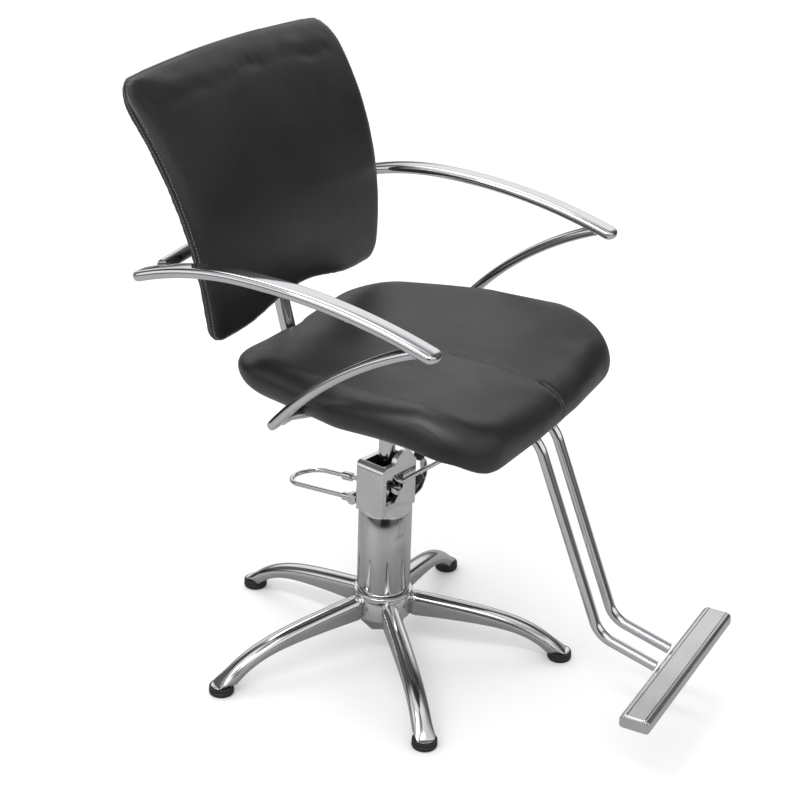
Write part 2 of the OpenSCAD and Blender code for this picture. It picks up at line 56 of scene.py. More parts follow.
FOOT_R = 0.300
LEG_START = 0.034             # where a leg's curves begin, from the column axis
LEG_RUN = 0.283
LEG_TOP = (0.1135, 0.049, 0.056)      # height at the start, even fall and end fall
LEG_UNDER = (0.0715, 0.018, 0.022, 0.072)
LEG_HALF = 0.0160
LEG_ROOT = 0.043
LEG_DRAFT = 0.93              # width of the underside as a share of the top
NOSE = 0.013
CROWN_STEPS = 18
GLIDE_H = 0.015
HUB_BORE = 0.0252

# Pump head, seen from above: U runs along the pedal and V across it
HEAD_TURN = math.radians(77.6)
U = Vector((math.cos(HEAD_TURN), math.sin(HEAD_TURN), 0))
V = Vector((-math.sin(HEAD_TURN), math.cos(HEAD_TURN), 0))
UP = Vector((0, 0, 1))

# Tubes
ARM_FRONT_R = 0.940
ARM_REAR_R = 0.489
ARM_ARC = 19.3
ARM_PEAK_Y = 0.080
STRUT_R = 0.540
STRUT_Y = -0.3972
STRUT_Z = 0.1828
STRUT_FROM = 21.0
STRUT_TO = 50.0
RAIL_R = 0.010
RAIL_END = 0.021              # level end of the seat rail before its knee
RAIL_KNEE = math.radians(20)

# Backrest front face: an arc about an axis parallel to X
BACK_R = 0.568
BACK_Y = 0.726
BACK_Z = 0.620
BACK_RIM = 0.011      # depth of the rim behind the front face
BACK_SWELL = 0.0055   # how far the padding swells past the board's outline

# Cloth
VOXEL = 0.005
FRAMES = 20
COVER = {
    "quality": 6, "mass": 0.25, "tension_stiffness": 5, "compression_stiffness": 5,
    "shear_stiffness": 2, "bending_stiffness": 40, "use_pressure": True,
    "uniform_pressure_force": 2.0, "pin_stiffness": 2.0,
}
CALM_ROUNDS = 26     # rounds of smoothing that split the swell from its wrinkles
WRINKLE = 0.12       # share of the fine wrinkles that the padding lets through
ACROSS = 0.15        # share of the sideways pull that the padding lets through

SHARP = math.radians(38)
EDGE = 0.0008        # bevel on the solids shown as they are
TINY = 1e-4          # radius that closes a turned form at its axis
MIX_SOCKETS = {"RGBA": (6, 7, 2), "FLOAT": (2, 3, 0)}


# NODE HELPERS

def new_material(name, colour, metallic=0.0, roughness=0.5):
    mat = bpy.data.materials.new(name)
    mat.use_nodes = True
    bsdf = mat.node_tree.nodes["Principled BSDF"]
    bsdf.inputs["Base Color"].default_value = (*colour, 1)
    bsdf.inputs["Metallic"].default_value = metallic
    bsdf.inputs["Roughness"].default_value = roughness
    return mat, mat.node_tree, bsdf


def node(tree, kind, **values):
    made = tree.nodes.new(kind)
    for key, value in values.items():
        if hasattr(made, key):
            setattr(made, key, value)
        else:
            made.inputs[key.replace("_", " ")].default_value = value
    return made


def place(tree, scale=(1, 1, 1)):
    """Position on the piece, stretched by scale."""
    coord = node(tree, "ShaderNodeTexCoord")
    mapping = node(tree, "ShaderNodeMapping")
    mapping.inputs["Scale"].default_value = scale
    tree.links.new(coord.outputs["Object"], mapping.inputs["Vector"])
    return mapping.outputs["Vector"]


def noise(tree, scale, detail=4.0, rough=0.5, stretch=(1, 1, 1)):
    made = node(tree, "ShaderNodeTexNoise", Scale=scale, Detail=detail, Roughness=rough)
    tree.links.new(place(tree, stretch), made.inputs["Vector"])
    return made.outputs["Fac"]


def remap(tree, value, low, high, start=0.3, end=0.7):
    made = node(tree, "ShaderNodeMapRange")
    for key, number in (("From Min", start), ("From Max", end), ("To Min", low), ("To Max", high)):
        made.inputs[key].default_value = number
    tree.links.new(value, made.inputs["Value"])
    return made.outputs["Result"]


def bump(tree, height, strength, depth, before=None):
    made = node(tree, "ShaderNodeBump", Strength=strength, Distance=depth)
    tree.links.new(height, made.inputs["Height"])
    if before is not None:
        tree.links.new(before, made.inputs["Normal"])
    return made.outputs["Normal"]


def feed(tree, socket, value):
    """Links an output to a socket, or sets the socket to a number or a colour."""
    if isinstance(value, bpy.types.NodeSocket):
        tree.links.new(value, socket)
    else:
        socket.default_value = (*value, 1) if isinstance(value, (tuple, list)) else value


def mixed(tree, share, first, second, kind="RGBA", blend="MIX"):
    """first where share is 0 and second where it is 1: outputs, numbers or colours."""
    made = node(tree, "ShaderNodeMix", data_type=kind, blend_type=blend)
    one, two, out = MIX_SOCKETS[kind]
    for index, value in ((0, share), (one, first), (two, second)):
        feed(tree, made.inputs[index], value)
    return made.outputs[out]


def computed(tree, how, first, second=0.0, third=None, clamp=False):
    """Result of a math node on outputs or numbers."""
    made = node(tree, "ShaderNodeMath", operation=how, use_clamp=clamp)
    feed(tree, made.inputs[0], first)
    feed(tree, made.inputs[1], second)
    if third is not None:
        feed(tree, made.inputs[2], third)
    return made.outputs[0]


def worn_edges(tree, amount):
    """Share that rises along convex edges."""
    made = node(tree, "ShaderNodeNewGeometry")
    return remap(tree, made.outputs["Pointiness"], 0.0, amount, 0.51, 0.56)


# MATERIALS

def metal(name, dark, light, rough, grain_scale, grain_depth,
          stretch=(1, 1, 1), cloud=18.0, cloud_stretch=(1, 1, 1)):
    """Metal with clouded reflectance, uneven polish, fine grain and brighter edges."""
    mat, tree, bsdf = new_material(name, light, 1.0)
    clouds = noise(tree, cloud, 3, 0.5, cloud_stretch)
    tree.links.new(mixed(tree, clouds, dark, light), bsdf.inputs["Base Color"])
    fine = noise(tree, grain_scale, 4, 0.6, stretch)
    broad = remap(tree, noise(tree, cloud * 0.7, 2), rough[0], rough[1])
    streak = remap(tree, fine, -0.25 * rough[0], 0.25 * rough[0])
    uneven = computed(tree, "ADD", broad, streak)
    worn = computed(tree, "SUBTRACT", uneven, worn_edges(tree, rough[0] * 0.4), clamp=True)
    tree.links.new(worn, bsdf.inputs["Roughness"])
    swell = bump(tree, noise(tree, 9, 2), 0.05, 0.002)
    tree.links.new(bump(tree, fine, 0.35, grain_depth, swell), bsdf.inputs["Normal"])
    return mat


def leather(name, colour, sheen):
    """Smooth black upholstery leather: fine pebbled grain, soft pull lines and a waxy, uneven sheen."""
    mat, tree, bsdf = new_material(name, colour, 0.0, 0.4)
    tone = mixed(tree, noise(tree, 14, 3), [c * 0.7 for c in colour], [c * 1.5 for c in colour])
    tree.links.new(tone, bsdf.inputs["Base Color"])
    broad = remap(tree, noise(tree, 9, 4, 0.55), 0.33, 0.46)
    tree.links.new(broad, bsdf.inputs["Roughness"])
    bsdf.inputs["Specular IOR Level"].default_value = 0.72
    bsdf.inputs["Sheen Weight"].default_value = sheen
    bsdf.inputs["Sheen Roughness"].default_value = 0.45
    bsdf.inputs["Sheen Tint"].default_value = (0.7, 0.72, 0.75, 1)
    pebbles = node(tree, "ShaderNodeTexVoronoi", feature="DISTANCE_TO_EDGE", Scale=720.0)
    tree.links.new(place(tree), pebbles.inputs["Vector"])
    cells = remap(tree, pebbles.outputs["Distance"], 0, 1, 0.0, 0.16)
    pulls = bump(tree, noise(tree, 26, 5, 0.6, (1.0, 0.55, 1.0)), 0.22, 0.0022)
    pores = bump(tree, noise(tree, 420, 3, 0.6), 0.16, 0.0004, pulls)
    tree.links.new(bump(tree, cells, 0.20, 0.00018, pores), bsdf.inputs["Normal"])
    return mat


def moulded(name, colour, rough, grain):
    """Moulded rubber or plastic with a faint orange-peel skin."""
    mat, tree, bsdf = new_material(name, colour)
    tone = mixed(tree, noise(tree, 60, 3), [c * 0.8 for c in colour], [c * 1.4 for c in colour])
    tree.links.new(tone, bsdf.inputs["Base Color"])
    tree.links.new(remap(tree, noise(tree, 45, 4), rough - 0.06, rough + 0.08), bsdf.inputs["Roughness"])
    tree.links.new(bump(tree, noise(tree, grain, 3), 0.25, 0.0002), bsdf.inputs["Normal"])
    return mat


def thread(name, colour):
    """Twisted sewing thread."""
    mat, tree, bsdf = new_material(name, colour, 0.0, 0.55)
    twist = node(tree, "ShaderNodeTexWave", Scale=900.0, Distortion=0.6)
    tree.links.new(place(tree), twist.inputs["Vector"])
    tone = mixed(tree, twist.outputs["Fac"], [c * 0.6 for c in colour], colour)
    tree.links.new(tone, bsdf.inputs["Base Color"])
    tree.links.new(bump(tree, twist.outputs["Fac"], 0.5, 0.0002), bsdf.inputs["Normal"])
    return mat


def plywood(name):
    """Black-stained board with its grain along x."""
    mat, tree, bsdf = new_material(name, (0.03, 0.03, 0.03), 0.0, 0.6)
    rings = noise(tree, 40, 6, 0.65, (0.15, 1.0, 1.0))
    tone = mixed(tree, rings, (0.012, 0.012, 0.012), (0.040, 0.038, 0.036))
    tree.links.new(tone, bsdf.inputs["Base Color"])
    tree.links.new(remap(tree, rings, 0.5, 0.72), bsdf.inputs["Roughness"])
    tree.links.new(bump(tree, rings, 0.3, 0.0004), bsdf.inputs["Normal"])
    return mat


def within(tree, value, half, middle=0.0):
    """1 where a value is no further than half from middle, 0 elsewhere."""
    return computed(tree, "COMPARE", value, middle, half)


def head_metal():
    """Satin casting; painted shade makes the inside of its cavity near black."""
    mat = metal("head_casting", (0.66, 0.66, 0.67), (0.86, 0.86, 0.87), (0.22, 0.34), 650, 0.00010)
    tree = mat.node_tree
    coord = node(tree, "ShaderNodeTexCoord")
    turned_in = node(tree, "ShaderNodeMapping", vector_type="TEXTURE")
    turned_in.inputs["Rotation"].default_value = (0, 0, HEAD_TURN)
    split = node(tree, "ShaderNodeSeparateXYZ")
    tree.links.new(coord.outputs["Object"], turned_in.inputs["Vector"])
    tree.links.new(turned_in.outputs["Vector"], split.inputs["Vector"])
    u, v, z = split.outputs["X"], split.outputs["Y"], split.outputs["Z"]
    # Painted shade: these masks pick out the inside of the head's cavity, which gets a near-black, matte,
    # non-metallic look.
    below = computed(tree, "MULTIPLY", within(tree, v, 0.0385), within(tree, z, 0.0285, 0.3115))
    mouth = computed(tree, "MULTIPLY", within(tree, v, 0.0314), within(tree, z, 0.0343, 0.3172))
    inner = computed(tree, "MULTIPLY", within(tree, u, 0.0203), computed(tree, "MAXIMUM", below, mouth))
    for name, kind, painted_shade_look in (("Base Color", "RGBA", (0.012, 0.012, 0.012)),
                              ("Metallic", "FLOAT", 0.0), ("Roughness", "FLOAT", 0.7)):
        socket = tree.nodes["Principled BSDF"].inputs[name]
        clean = socket.links[0].from_socket if socket.links else socket.default_value
        tree.links.new(mixed(tree, inner, clean, painted_shade_look, kind), socket)
    return mat


CHROME = metal("chrome", (0.66, 0.67, 0.69), (0.84, 0.85, 0.87), (0.035, 0.10), 900, 0.00002)
CAST = metal("cast_satin", (0.46, 0.46, 0.47), (0.62, 0.62, 0.63), (0.30, 0.42), 700, 0.00012)
POLISHED = metal("polished_cast", (0.66, 0.66, 0.67), (0.80, 0.80, 0.81), (0.09, 0.17), 500, 0.00003)
BRUSHED = metal("brushed", (0.58, 0.58, 0.59), (0.74, 0.74, 0.75), (0.22, 0.33), 700, 0.00006,
                (0.04, 1, 1), 12)
STEEL = metal("machined_steel", (0.30, 0.30, 0.32), (0.46, 0.46, 0.48), (0.28, 0.40), 600, 0.00006,
              (1, 1, 0.1))
BRONZE = metal("bearing_bronze", (0.30, 0.22, 0.14), (0.44, 0.34, 0.22), (0.25, 0.38), 600, 0.00006)
LEATHER = leather("black_leather", (0.0032, 0.0032, 0.0036), 0.03)
# Painted highlight: the thread is black, but its colour is set to grey so the stitch rows show as light
# dots.
THREAD = thread("black_thread", (0.130, 0.130, 0.136))
RUBBER = moulded("black_rubber", (0.010, 0.010, 0.011), 0.48, 520)
PLASTIC = moulded("black_plastic", (0.012, 0.012, 0.012), 0.22, 380)
PLYWOOD = plywood("black_stained_plywood")
HEAD = head_metal()
# Partly painted reflection: on the column the base colour runs in vertical streaks from 0.40 to 0.92,
# standing in for reflected lines; the fine vertical grain is the tube's own.
SATIN_CHROME = metal("satin_chrome", (0.40, 0.40, 0.41), (0.92, 0.92, 0.93), (0.13, 0.20), 900, 0.00004,
                     (1, 1, 0.05), 60, (1, 1, 0.03))
SLOT_LOOK = {
    "cast_aluminium": CAST, "chrome": CHROME, "satin_chrome": BRUSHED, "steel": STEEL,
    "bronze": BRONZE, "black_rubber": RUBBER, "black_plastic": PLASTIC, "upholstery": LEATHER,
    "plywood": PLYWOOD,
}


# MESH HELPERS

def piece(name, verts, faces, look, body, slot, replaced=(), sharp=38, looks=None, pick=None):
    """A piece of the chair from vertices and faces; pick gives each face its index in looks."""
    mesh = bpy.data.meshes.new(name)
    mesh.from_pydata([tuple(v) for v in verts], [], [tuple(int(i) for i in f) for f in faces])
    for mat in looks or [look]:
        mesh.materials.append(mat)
    if pick is not None:
        mesh.polygons.foreach_set("material_index", np.array(pick, np.int32))
    clean = bmesh.new()
    clean.from_mesh(mesh)
    bmesh.ops.remove_doubles(clean, verts=clean.verts, dist=1e-6)
    bmesh.ops.recalc_face_normals(clean, faces=clean.faces)
    clean.to_mesh(mesh)
    clean.free()
    mesh.shade_smooth()
    mesh.set_sharp_from_angle(angle=math.radians(sharp))
    made = bpy.data.objects.new(name, mesh)
    bpy.context.scene.collection.objects.link(made)
    finish_piece(made, body, replaced)
    return made


def finish_piece(made, body, replaced=()):
    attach(made, body)
    if replaced:
        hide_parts(*replaced)


def grid_faces(rows, columns, wrap=True, start=0):
    """Quads between consecutive rings of a lofted form."""
    last = columns if wrap else columns - 1
    return [
        (start + i * columns + j, start + i * columns + (j + 1) % columns,
         start + (i + 1) * columns + (j + 1) % columns, start + (i + 1) * columns + j)
        for i in range(rows - 1) for j in range(last)
    ]


def loft(rings, close=True):
    """Closed skin over rings of the same point count, capped at both ends."""
    rings = np.asarray(rings, float)
    count, columns = rings.shape[:2]
    faces = grid_faces(count, columns)
    if close:
        faces.append(tuple(range(columns - 1, -1, -1)))
        faces.append(tuple((count - 1) * columns + j for j in range(columns)))
    return rings.reshape(-1, 3), faces


def joined(parts):
    """Vertices and faces of several forms as one."""
    verts, faces, base = [], [], 0
    for v, f in parts:
        verts.extend(np.asarray(v, float).tolist())
        faces.extend([tuple(i + base for i in face) for face in f])
        base += len(v)
    return verts, faces


def turned(profile, centre=(0, 0, 0), axis=UP, count=96, bored=False):
    """Form turned from (radius, height) pairs along axis: capped, or a ring with a bore."""
    axis = Vector(axis).normalized()
    side = axis.orthogonal().normalized()
    other = axis.cross(side)
    angle = 2 * np.pi * np.arange(count) / count
    ring = np.outer(np.cos(angle), side) + np.outer(np.sin(angle), other)
    rings = [np.array(centre) + r * ring + h * np.array(axis) for r, h in profile]
    if bored:
        rings.append(rings[0])
    return loft(rings, not bored)


def rounded_profile(r, z0, z1, edge, steps=4):
    """Turned profile with rounded outer edges, from the bottom centre to the top centre."""
    arc = [math.pi / 2 * i / steps for i in range(steps + 1)]
    low = [(r - edge + edge * math.sin(a), z0 + edge - edge * math.cos(a)) for a in arc]
    high = [(r - edge + edge * math.cos(a), z1 - edge + edge * math.sin(a)) for a in arc]
    return [(TINY, z0)] + low + high + [(TINY, z1)]


def path_frame(path, side):
    """Unit tangent, side and normal at each point of a path whose side direction is known."""
    path = np.asarray(path, float)
    tangent = np.gradient(path, axis=0)
    tangent /= np.linalg.norm(tangent, axis=1)[:, None]
    side = np.array(side, float) - tangent * (tangent @ np.array(side, float))[:, None]
    side /= np.linalg.norm(side, axis=1)[:, None]
    return path, tangent, side, np.cross(side, tangent)


def swept(path, section, side, size=None):
    """Section of (side, normal) points carried along a path, scaled by size at each point."""
    path, _, across, normal = path_frame(path, side)
    size = np.ones(len(path)) if size is None else np.asarray(size)
    section = np.asarray(section, float)
    rings = [
        p + k * (np.outer(section[:, 0], a) + np.outer(section[:, 1], n))
        for p, a, n, k in zip(path, across, normal, size)
    ]
    return loft(rings)


def round_section(r, count=32):
    angle = 2 * np.pi * np.arange(count) / count
    return np.column_stack([r * np.cos(angle), r * np.sin(angle)])


def oval_section(width, thick, count=48):
    """Flat oval: two half rounds joined by straight sides."""
    angle = 2 * np.pi * (np.arange(count) + 0.5) / count
    reach = (width - thick) / 2
    return np.column_stack(
        [np.sign(np.cos(angle)) * reach + np.cos(angle) * thick / 2, np.sin(angle) * thick / 2])


def stations(steps, at, heading, pitch=3.0, straight=0.02):
    """Points of a planar path: (length,) runs straight, (radius, degrees) turns left if positive."""
    points = [np.array(at, float)]
    for step in steps:
        if len(step) == 1:
            count = max(1, round(step[0] / straight))
            ahead = np.array([math.cos(heading), math.sin(heading)])
            start = points[-1]
            points += [start + ahead * step[0] * (i + 1) / count for i in range(count)]
            continue
        radius, turn = step
        count = max(2, math.ceil(abs(turn) / min(pitch, 0.6 / math.sqrt(radius) + 0.4)))
        way = math.copysign(1, turn)
        mid = points[-1] + way * radius * np.array([-math.sin(heading), math.cos(heading)])
        for i in range(1, count + 1):
            a = heading + math.radians(turn) * i / count
            points.append(mid + way * radius * np.array([math.sin(a), -math.cos(a)]))
        heading += math.radians(turn)
    return np.array(points)


def in_yz(points, x=0.0):
    return np.column_stack([np.full(len(points), x), points[:, 0], points[:, 1]])


def round_tips(path, start, end, steps=6):
    """Path with each end carried on by a rounded tip of that length, and the size at each point."""
    path = np.asarray(path, float)
    first = path[0] - path[1]
    last = path[-1] - path[-2]
    first /= np.linalg.norm(first)
    last /= np.linalg.norm(last)
    angle = np.radians(np.linspace(86, 86 / steps, steps))
    head = [path[0] + first * start * math.sin(a) for a in angle] if start else []
    tail = [path[-1] + last * end * math.sin(a) for a in angle[::-1]] if end else []
    size = ([math.cos(a) for a in angle] if start else []) + [1.0] * len(path)
    size += [math.cos(a) for a in angle[::-1]] if end else []
    return np.array(list(head) + list(path) + list(tail)), size


def filleted(points, radius, steps=10):
    """Polyline in space with its inner corners rounded."""
    points = [Vector(p) for p in points]
    out = [points[0]]
    for before, corner, after in zip(points, points[1:], points[2:]):
        a = (before - corner).normalized()
        b = (after - corner).normalized()
        half = a.angle(b) / 2
        cut = min(radius / math.tan(half), (before - corner).length * 0.49, (after - corner).length * 0.49)
        r = cut * math.tan(half)
        mid = corner + (a + b).normalized() * (r / math.sin(half))
        start, end = corner + a * cut, corner + b * cut
        for i in range(steps + 1):
            arm = (start - mid).lerp(end - mid, i / steps)
            out.append(mid + arm.normalized() * r)
    out.append(points[-1])
    return np.array([list(p) for p in out])


def spaced(path, pitch):
    """The path resampled at an even pitch."""
    path = np.asarray(path, float)
    run = np.concatenate([[0], np.cumsum(np.linalg.norm(np.diff(path, axis=0), axis=1))])
    count = max(2, int(round(run[-1] / pitch)) + 1)
    at = np.linspace(0, run[-1], count)
    return np.column_stack([np.interp(at, run, path[:, i]) for i in range(path.shape[1])])


def moving_frame_tube(path, r, count=24, tips=(0, 0)):
    """Round tube along any path in space."""
    path, size = round_tips(path, *tips) if any(tips) else (np.asarray(path, float), None)
    tangent = np.gradient(path, axis=0)
    tangent /= np.linalg.norm(tangent, axis=1)[:, None]
    side = Vector(tangent[0]).orthogonal().normalized()
    section = round_section(r, count)
    size = np.ones(len(path)) if size is None else size
    rings = []
    for p, t, k in zip(path, tangent, size):
        t = Vector(t)
        side = (side - t * side.dot(t)).normalized()
        up = t.cross(side)
        rings.append(p + k * (np.outer(section[:, 0], side) + np.outer(section[:, 1], up)))
    return loft(rings)


def head_point(u, v, z):
    """Point of the row frame from the head's own directions."""
    return U * u + V * v + UP * z


def at_turn(verts, angle):
    """Points turned about the column axis."""
    c, s = math.cos(angle), math.sin(angle)
    v = np.asarray(verts, float)
    return np.column_stack([v[:, 0] * c - v[:, 1] * s, v[:, 0] * s + v[:, 1] * c, v[:, 2]])


def dress_cad(name, look):
    """Shows a CAD node with a finish and softened edges."""
    made = frame["nodes"][name]
    made.data.materials.clear()
    made.data.materials.append(look)
    bevel = made.modifiers.new("edges", "BEVEL")
    bevel.width = EDGE
    bevel.segments = 3
    bevel.limit_method = "ANGLE"
    bevel.angle_limit = SHARP
    bevel.harden_normals = True


# BASE

def leg_share(r):
    """How far along a leg a radius lies, from 0 at its start."""
    return (r - LEG_START) / LEG_RUN


def leg_top(r):
    s = leg_share(r)
    start, even, last = LEG_TOP
    fall = max(0.0, (LEG_ROOT + NOSE - r) / NOSE)
    nose = 0.011 * (1 - math.sqrt(max(0.0, 1 - fall * fall)))
    return max(GLIDE_H + 0.001, start - even * s - last * s ** 5) - nose


def leg_under(r):
    s = leg_share(r)
    start, even, middle, last = LEG_UNDER
    return max(GLIDE_H, start - even * s - middle * s ** 3 - last * s ** 7)


def leg_half(r):
    """Half width of a leg, rounded off at both ends."""
    half = LEG_HALF * (0.93 + 0.09 * leg_share(r))
    if r < LEG_ROOT + NOSE:
        q = (LEG_ROOT + NOSE - r) / NOSE
        return max(0.0008, half * math.sqrt(max(0.0, 1 - q * q)))
    if r > FOOT_R:
        q = (r - FOOT_R) / (half + 0.0005)
        return max(0.0006, half * math.sqrt(max(0.0, 1 - q * q)))
    return half


def leg_section(r):
    """Ring across a leg: a half-round rolled top over drafted flat sides."""
    w, top, under = leg_half(r), leg_top(r), leg_under(r)
    depth = max(0.0008, top - under)
    rise = min(w * 0.92, depth * 0.62)
    foot = min(0.003, depth * 0.2, w * 0.4)
    arc = [math.pi * i / CROWN_STEPS for i in range(CROWN_STEPS + 1)]
    crown = [(w * math.cos(a), top - rise + rise * math.sin(a)) for a in arc]
    low = w * LEG_DRAFT
    side = [(-low, under + foot), (-low + foot * 0.3, under + foot * 0.3), (-low + foot, under)]
    ring = crown + side + [(-x, z) for x, z in reversed(side)]
    return [(r, x, z) for x, z in ring]


def build_base():
    root = LEG_ROOT + NOSE * (1 - np.cos(np.radians(np.linspace(4, 90, 8))))
    middle = np.linspace(root[-1], FOOT_R, 48)[1:]
    end = FOOT_R + (LEG_HALF * 1.02) * np.sin(np.radians(np.linspace(8, 89, 12)))
    rings = [leg_section(r) for r in np.concatenate([root, middle, end])]
    verts, faces = loft(rings)
    columns = len(rings[0])
    crown = [0 if f[0] % columns < CROWN_STEPS and len(f) == 4 else 1 for f in faces]
    legs = joined([(at_turn(verts, LEG_TURN + 2 * math.pi * i / LEGS), faces) for i in range(LEGS)])
    piece("star_legs", *legs, None, "base", "cast_aluminium", ("star_base",), 42,
          [POLISHED, CAST], crown * LEGS)
    hub_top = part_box("star_base")[1].z
    hub_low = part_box("base_washer")[1].z
    hub = [(HUB_BORE, hub_low), (0.0445, hub_low), (0.0470, hub_low + 0.0018), (0.0475, hub_low + 0.004),
           (0.0475, hub_top - 0.0075), (0.0470, hub_top - 0.0068), (0.0478, hub_top - 0.0060),
           (0.0488, hub_top - 0.0045), (0.0488, hub_top - 0.0012), (0.0478, hub_top + 0.0002),
           (0.0452, hub_top + 0.0006), (0.0438, hub_top + 0.0002), (HUB_BORE, hub_top)]
    piece("star_hub", *turned(hub, count=128, bored=True), POLISHED, "base", "cast_aluminium", (), 50)
    step = [(TINY, 0), (0.0170, 0), (0.0192, 0.0012), (0.0202, 0.0034), (0.0203, 0.0070),
            (0.0192, 0.0080), (0.0192, 0.0090), (0.0200, 0.0098), (0.0200, 0.0132),
            (0.0188, GLIDE_H), (TINY, GLIDE_H + 0.0004)]
    feet = [turned(step, at_turn([(FOOT_R, 0, 0)], LEG_TURN + 2 * math.pi * i / LEGS)[0], UP, 48)
            for i in range(LEGS)]
    piece("glides", *joined(feet), RUBBER, "base", "black_rubber", ("base_glides",))


def build_column():
    low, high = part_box("column_tube")
    r = high.x
    rim = [(r - 0.003, low.z), (r - 0.0006, low.z), (r, low.z + 0.0008), (r, high.z - 0.0012),
           (r - 0.0008, high.z), (r - 0.003, high.z)]
    piece("column", *turned(rim, count=160, bored=True), SATIN_CHROME, "base", "chrome", ("column_tube",))


# FOOT PEDAL AND LEVERS

def build_pedal():
    pivot_u, z = 0.040, 0.278
    droop = math.radians(8)
    half, rod = 0.035, 0.004
    straight = 0.1164
    flat = stations([(straight,), (half, -180), (straight,)], (0.0082, half), 0.0, 6)
    ahead = U * math.cos(droop) - UP * math.sin(droop)
    pivot = head_point(pivot_u, 0, z)
    path = [pivot + ahead * a + V * b for a, b in flat]
    piece("pedal_rod", *moving_frame_tube([list(p) for p in path], rod), CHROME, "pedal", "chrome",
          ("pedal_loop",))


def build_brake():
    low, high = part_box("brake_knob")
    knob = (low + high) / 2
    end_v = knob.dot(V)
    path = [head_point(u, v, z) for u, v, z in (
        (-0.026, 0.013, 0.3335), (-0.0375, 0.0085, 0.3225), (-0.0375, -0.010, 0.3250),
        (-0.036, end_v + 0.004, 0.3275))]
    rod = moving_frame_tube(filleted(path, 0.010), 0.0038, 24, (0.003, 0))
    bar = [(-0.018, 0.021, 0.3180), (-0.043, 0.0165, 0.3110)]
    half_v, half_z, soft = 0.0060, 0.0052, 0.0012
    corner = [(s * (half_v - (soft if k else 0)), t * (half_z - (0 if k else soft)))
              for s, t, order in ((1, 1, (0, 1)), (-1, 1, (1, 0)), (-1, -1, (0, 1)), (1, -1, (1, 0)))
              for k in order]
    ends = [Vector(head_point(*p)) for p in bar]
    out = (ends[1] - ends[0]).normalized()
    line = [ends[0], ends[1] - out * soft, ends[1]]
    block = swept([list(p) for p in line], corner, list(V), [1, 1, 0.82])
    piece("brake_rod", *joined([rod, block]), CHROME, "brake", "chrome", ("brake_lever",), 30)
    grip = [(TINY, -0.0150), (0.0055, -0.0146), (0.0085, -0.0125), (0.0115, -0.0070),
            (0.0128, 0.0), (0.0122, 0.0060), (0.0095, 0.0105), (0.0050, 0.0128), (TINY, 0.0134)]
    piece("brake_grip", *turned(grip, list(knob), V, 48), PLASTIC, "brake", "black_plastic",
          ("brake_knob",))


def build_release():
    low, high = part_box("release_knob")
    ball = (low + high) / 2
    u = ball.dot(U)
    strap_line = [head_point(u, v, z) for v, z in (
        (-0.0425, 0.2740), (-0.0640, 0.2810), (-0.0770, 0.3060), (-0.0740, 0.3300), (-0.0630, 0.3380))]
    line = filleted(strap_line, 0.016)
    strap = swept(line, oval_section(0.015, 0.0030, 24), list(U))
    boss = turned(rounded_profile(0.0075, 0.0, 0.0055, 0.0015), list(head_point(u, -0.0430, 0.2995)),
                  -V, 40)
    screw = turned([(TINY, 0.0), (0.0036, 0.0), (0.0036, 0.0012), (0.0026, 0.0024), (TINY, 0.0027)],
                   list(head_point(u, -0.0650, 0.3005)), -V, 32)
    piece("release_strap", *joined([strap, boss, screw]), CHROME, "release", "chrome",
          ("release_lever",), 30)
    r = (high.z - low.z) / 2
    arc = np.radians(np.linspace(-88, 88, 20))
    round_ball = [(r * math.cos(a), r * math.sin(a)) for a in arc]
    buffer = [(TINY, 0.0), (0.0085, 0.0), (0.0105, 0.0018), (0.0115, 0.0050), (0.0110, 0.0080),
              (0.0100, 0.0095), (0.0105, 0.0110), (0.0100, 0.0145), (0.0075, 0.0165), (TINY, 0.0168)]
    parts = [turned(round_ball, list(ball), UP, 40),
             turned(buffer, list(head_point(u, -0.0485, 0.3005)), -V, 40)]
    piece("release_grip", *joined(parts), PLASTIC, "release", "black_plastic", ("release_knob",))


# SEAT AND BACK FRAME

def seat_chrome(name, form, node_name):
    """Chromed piece of the seat frame, in place of its CAD node."""
    piece(name, *form, CHROME, "seat", "chrome", (node_name,), 60)


def build_arm(node_name, strut_name, x):
    low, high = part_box(node_name)
    width, thick = high.x - low.x, 0.016
    peak = (ARM_PEAK_Y, high.z - thick / 2)
    front = stations([(ARM_FRONT_R, ARM_ARC)], peak, math.pi, 1.0)
    rear = stations([(ARM_REAR_R, -ARM_ARC)], peak, 0.0, 1.0)
    path, size = round_tips(in_yz(np.vstack([front[::-1], rear[1:]]), x), 0.013, 0.013)
    arm = swept(path, oval_section(width, thick), (1, 0, 0), size)
    seat_chrome(node_name.replace("arm", "armrest"), arm, node_name)
    low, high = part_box(strut_name)
    width = high.x - low.x
    angles = np.radians(np.linspace(STRUT_FROM - 0.55, STRUT_TO, 40))
    arc = np.column_stack([STRUT_Y + STRUT_R * np.sin(angles), STRUT_Z + STRUT_R * np.cos(angles)])
    path, size = round_tips(in_yz(arc, x), 0, 0.010)
    strut = swept(path, oval_section(width, width / 2), (1, 0, 0), size)
    seat_chrome(strut_name.replace("strut", "arm_strut"), strut, strut_name)


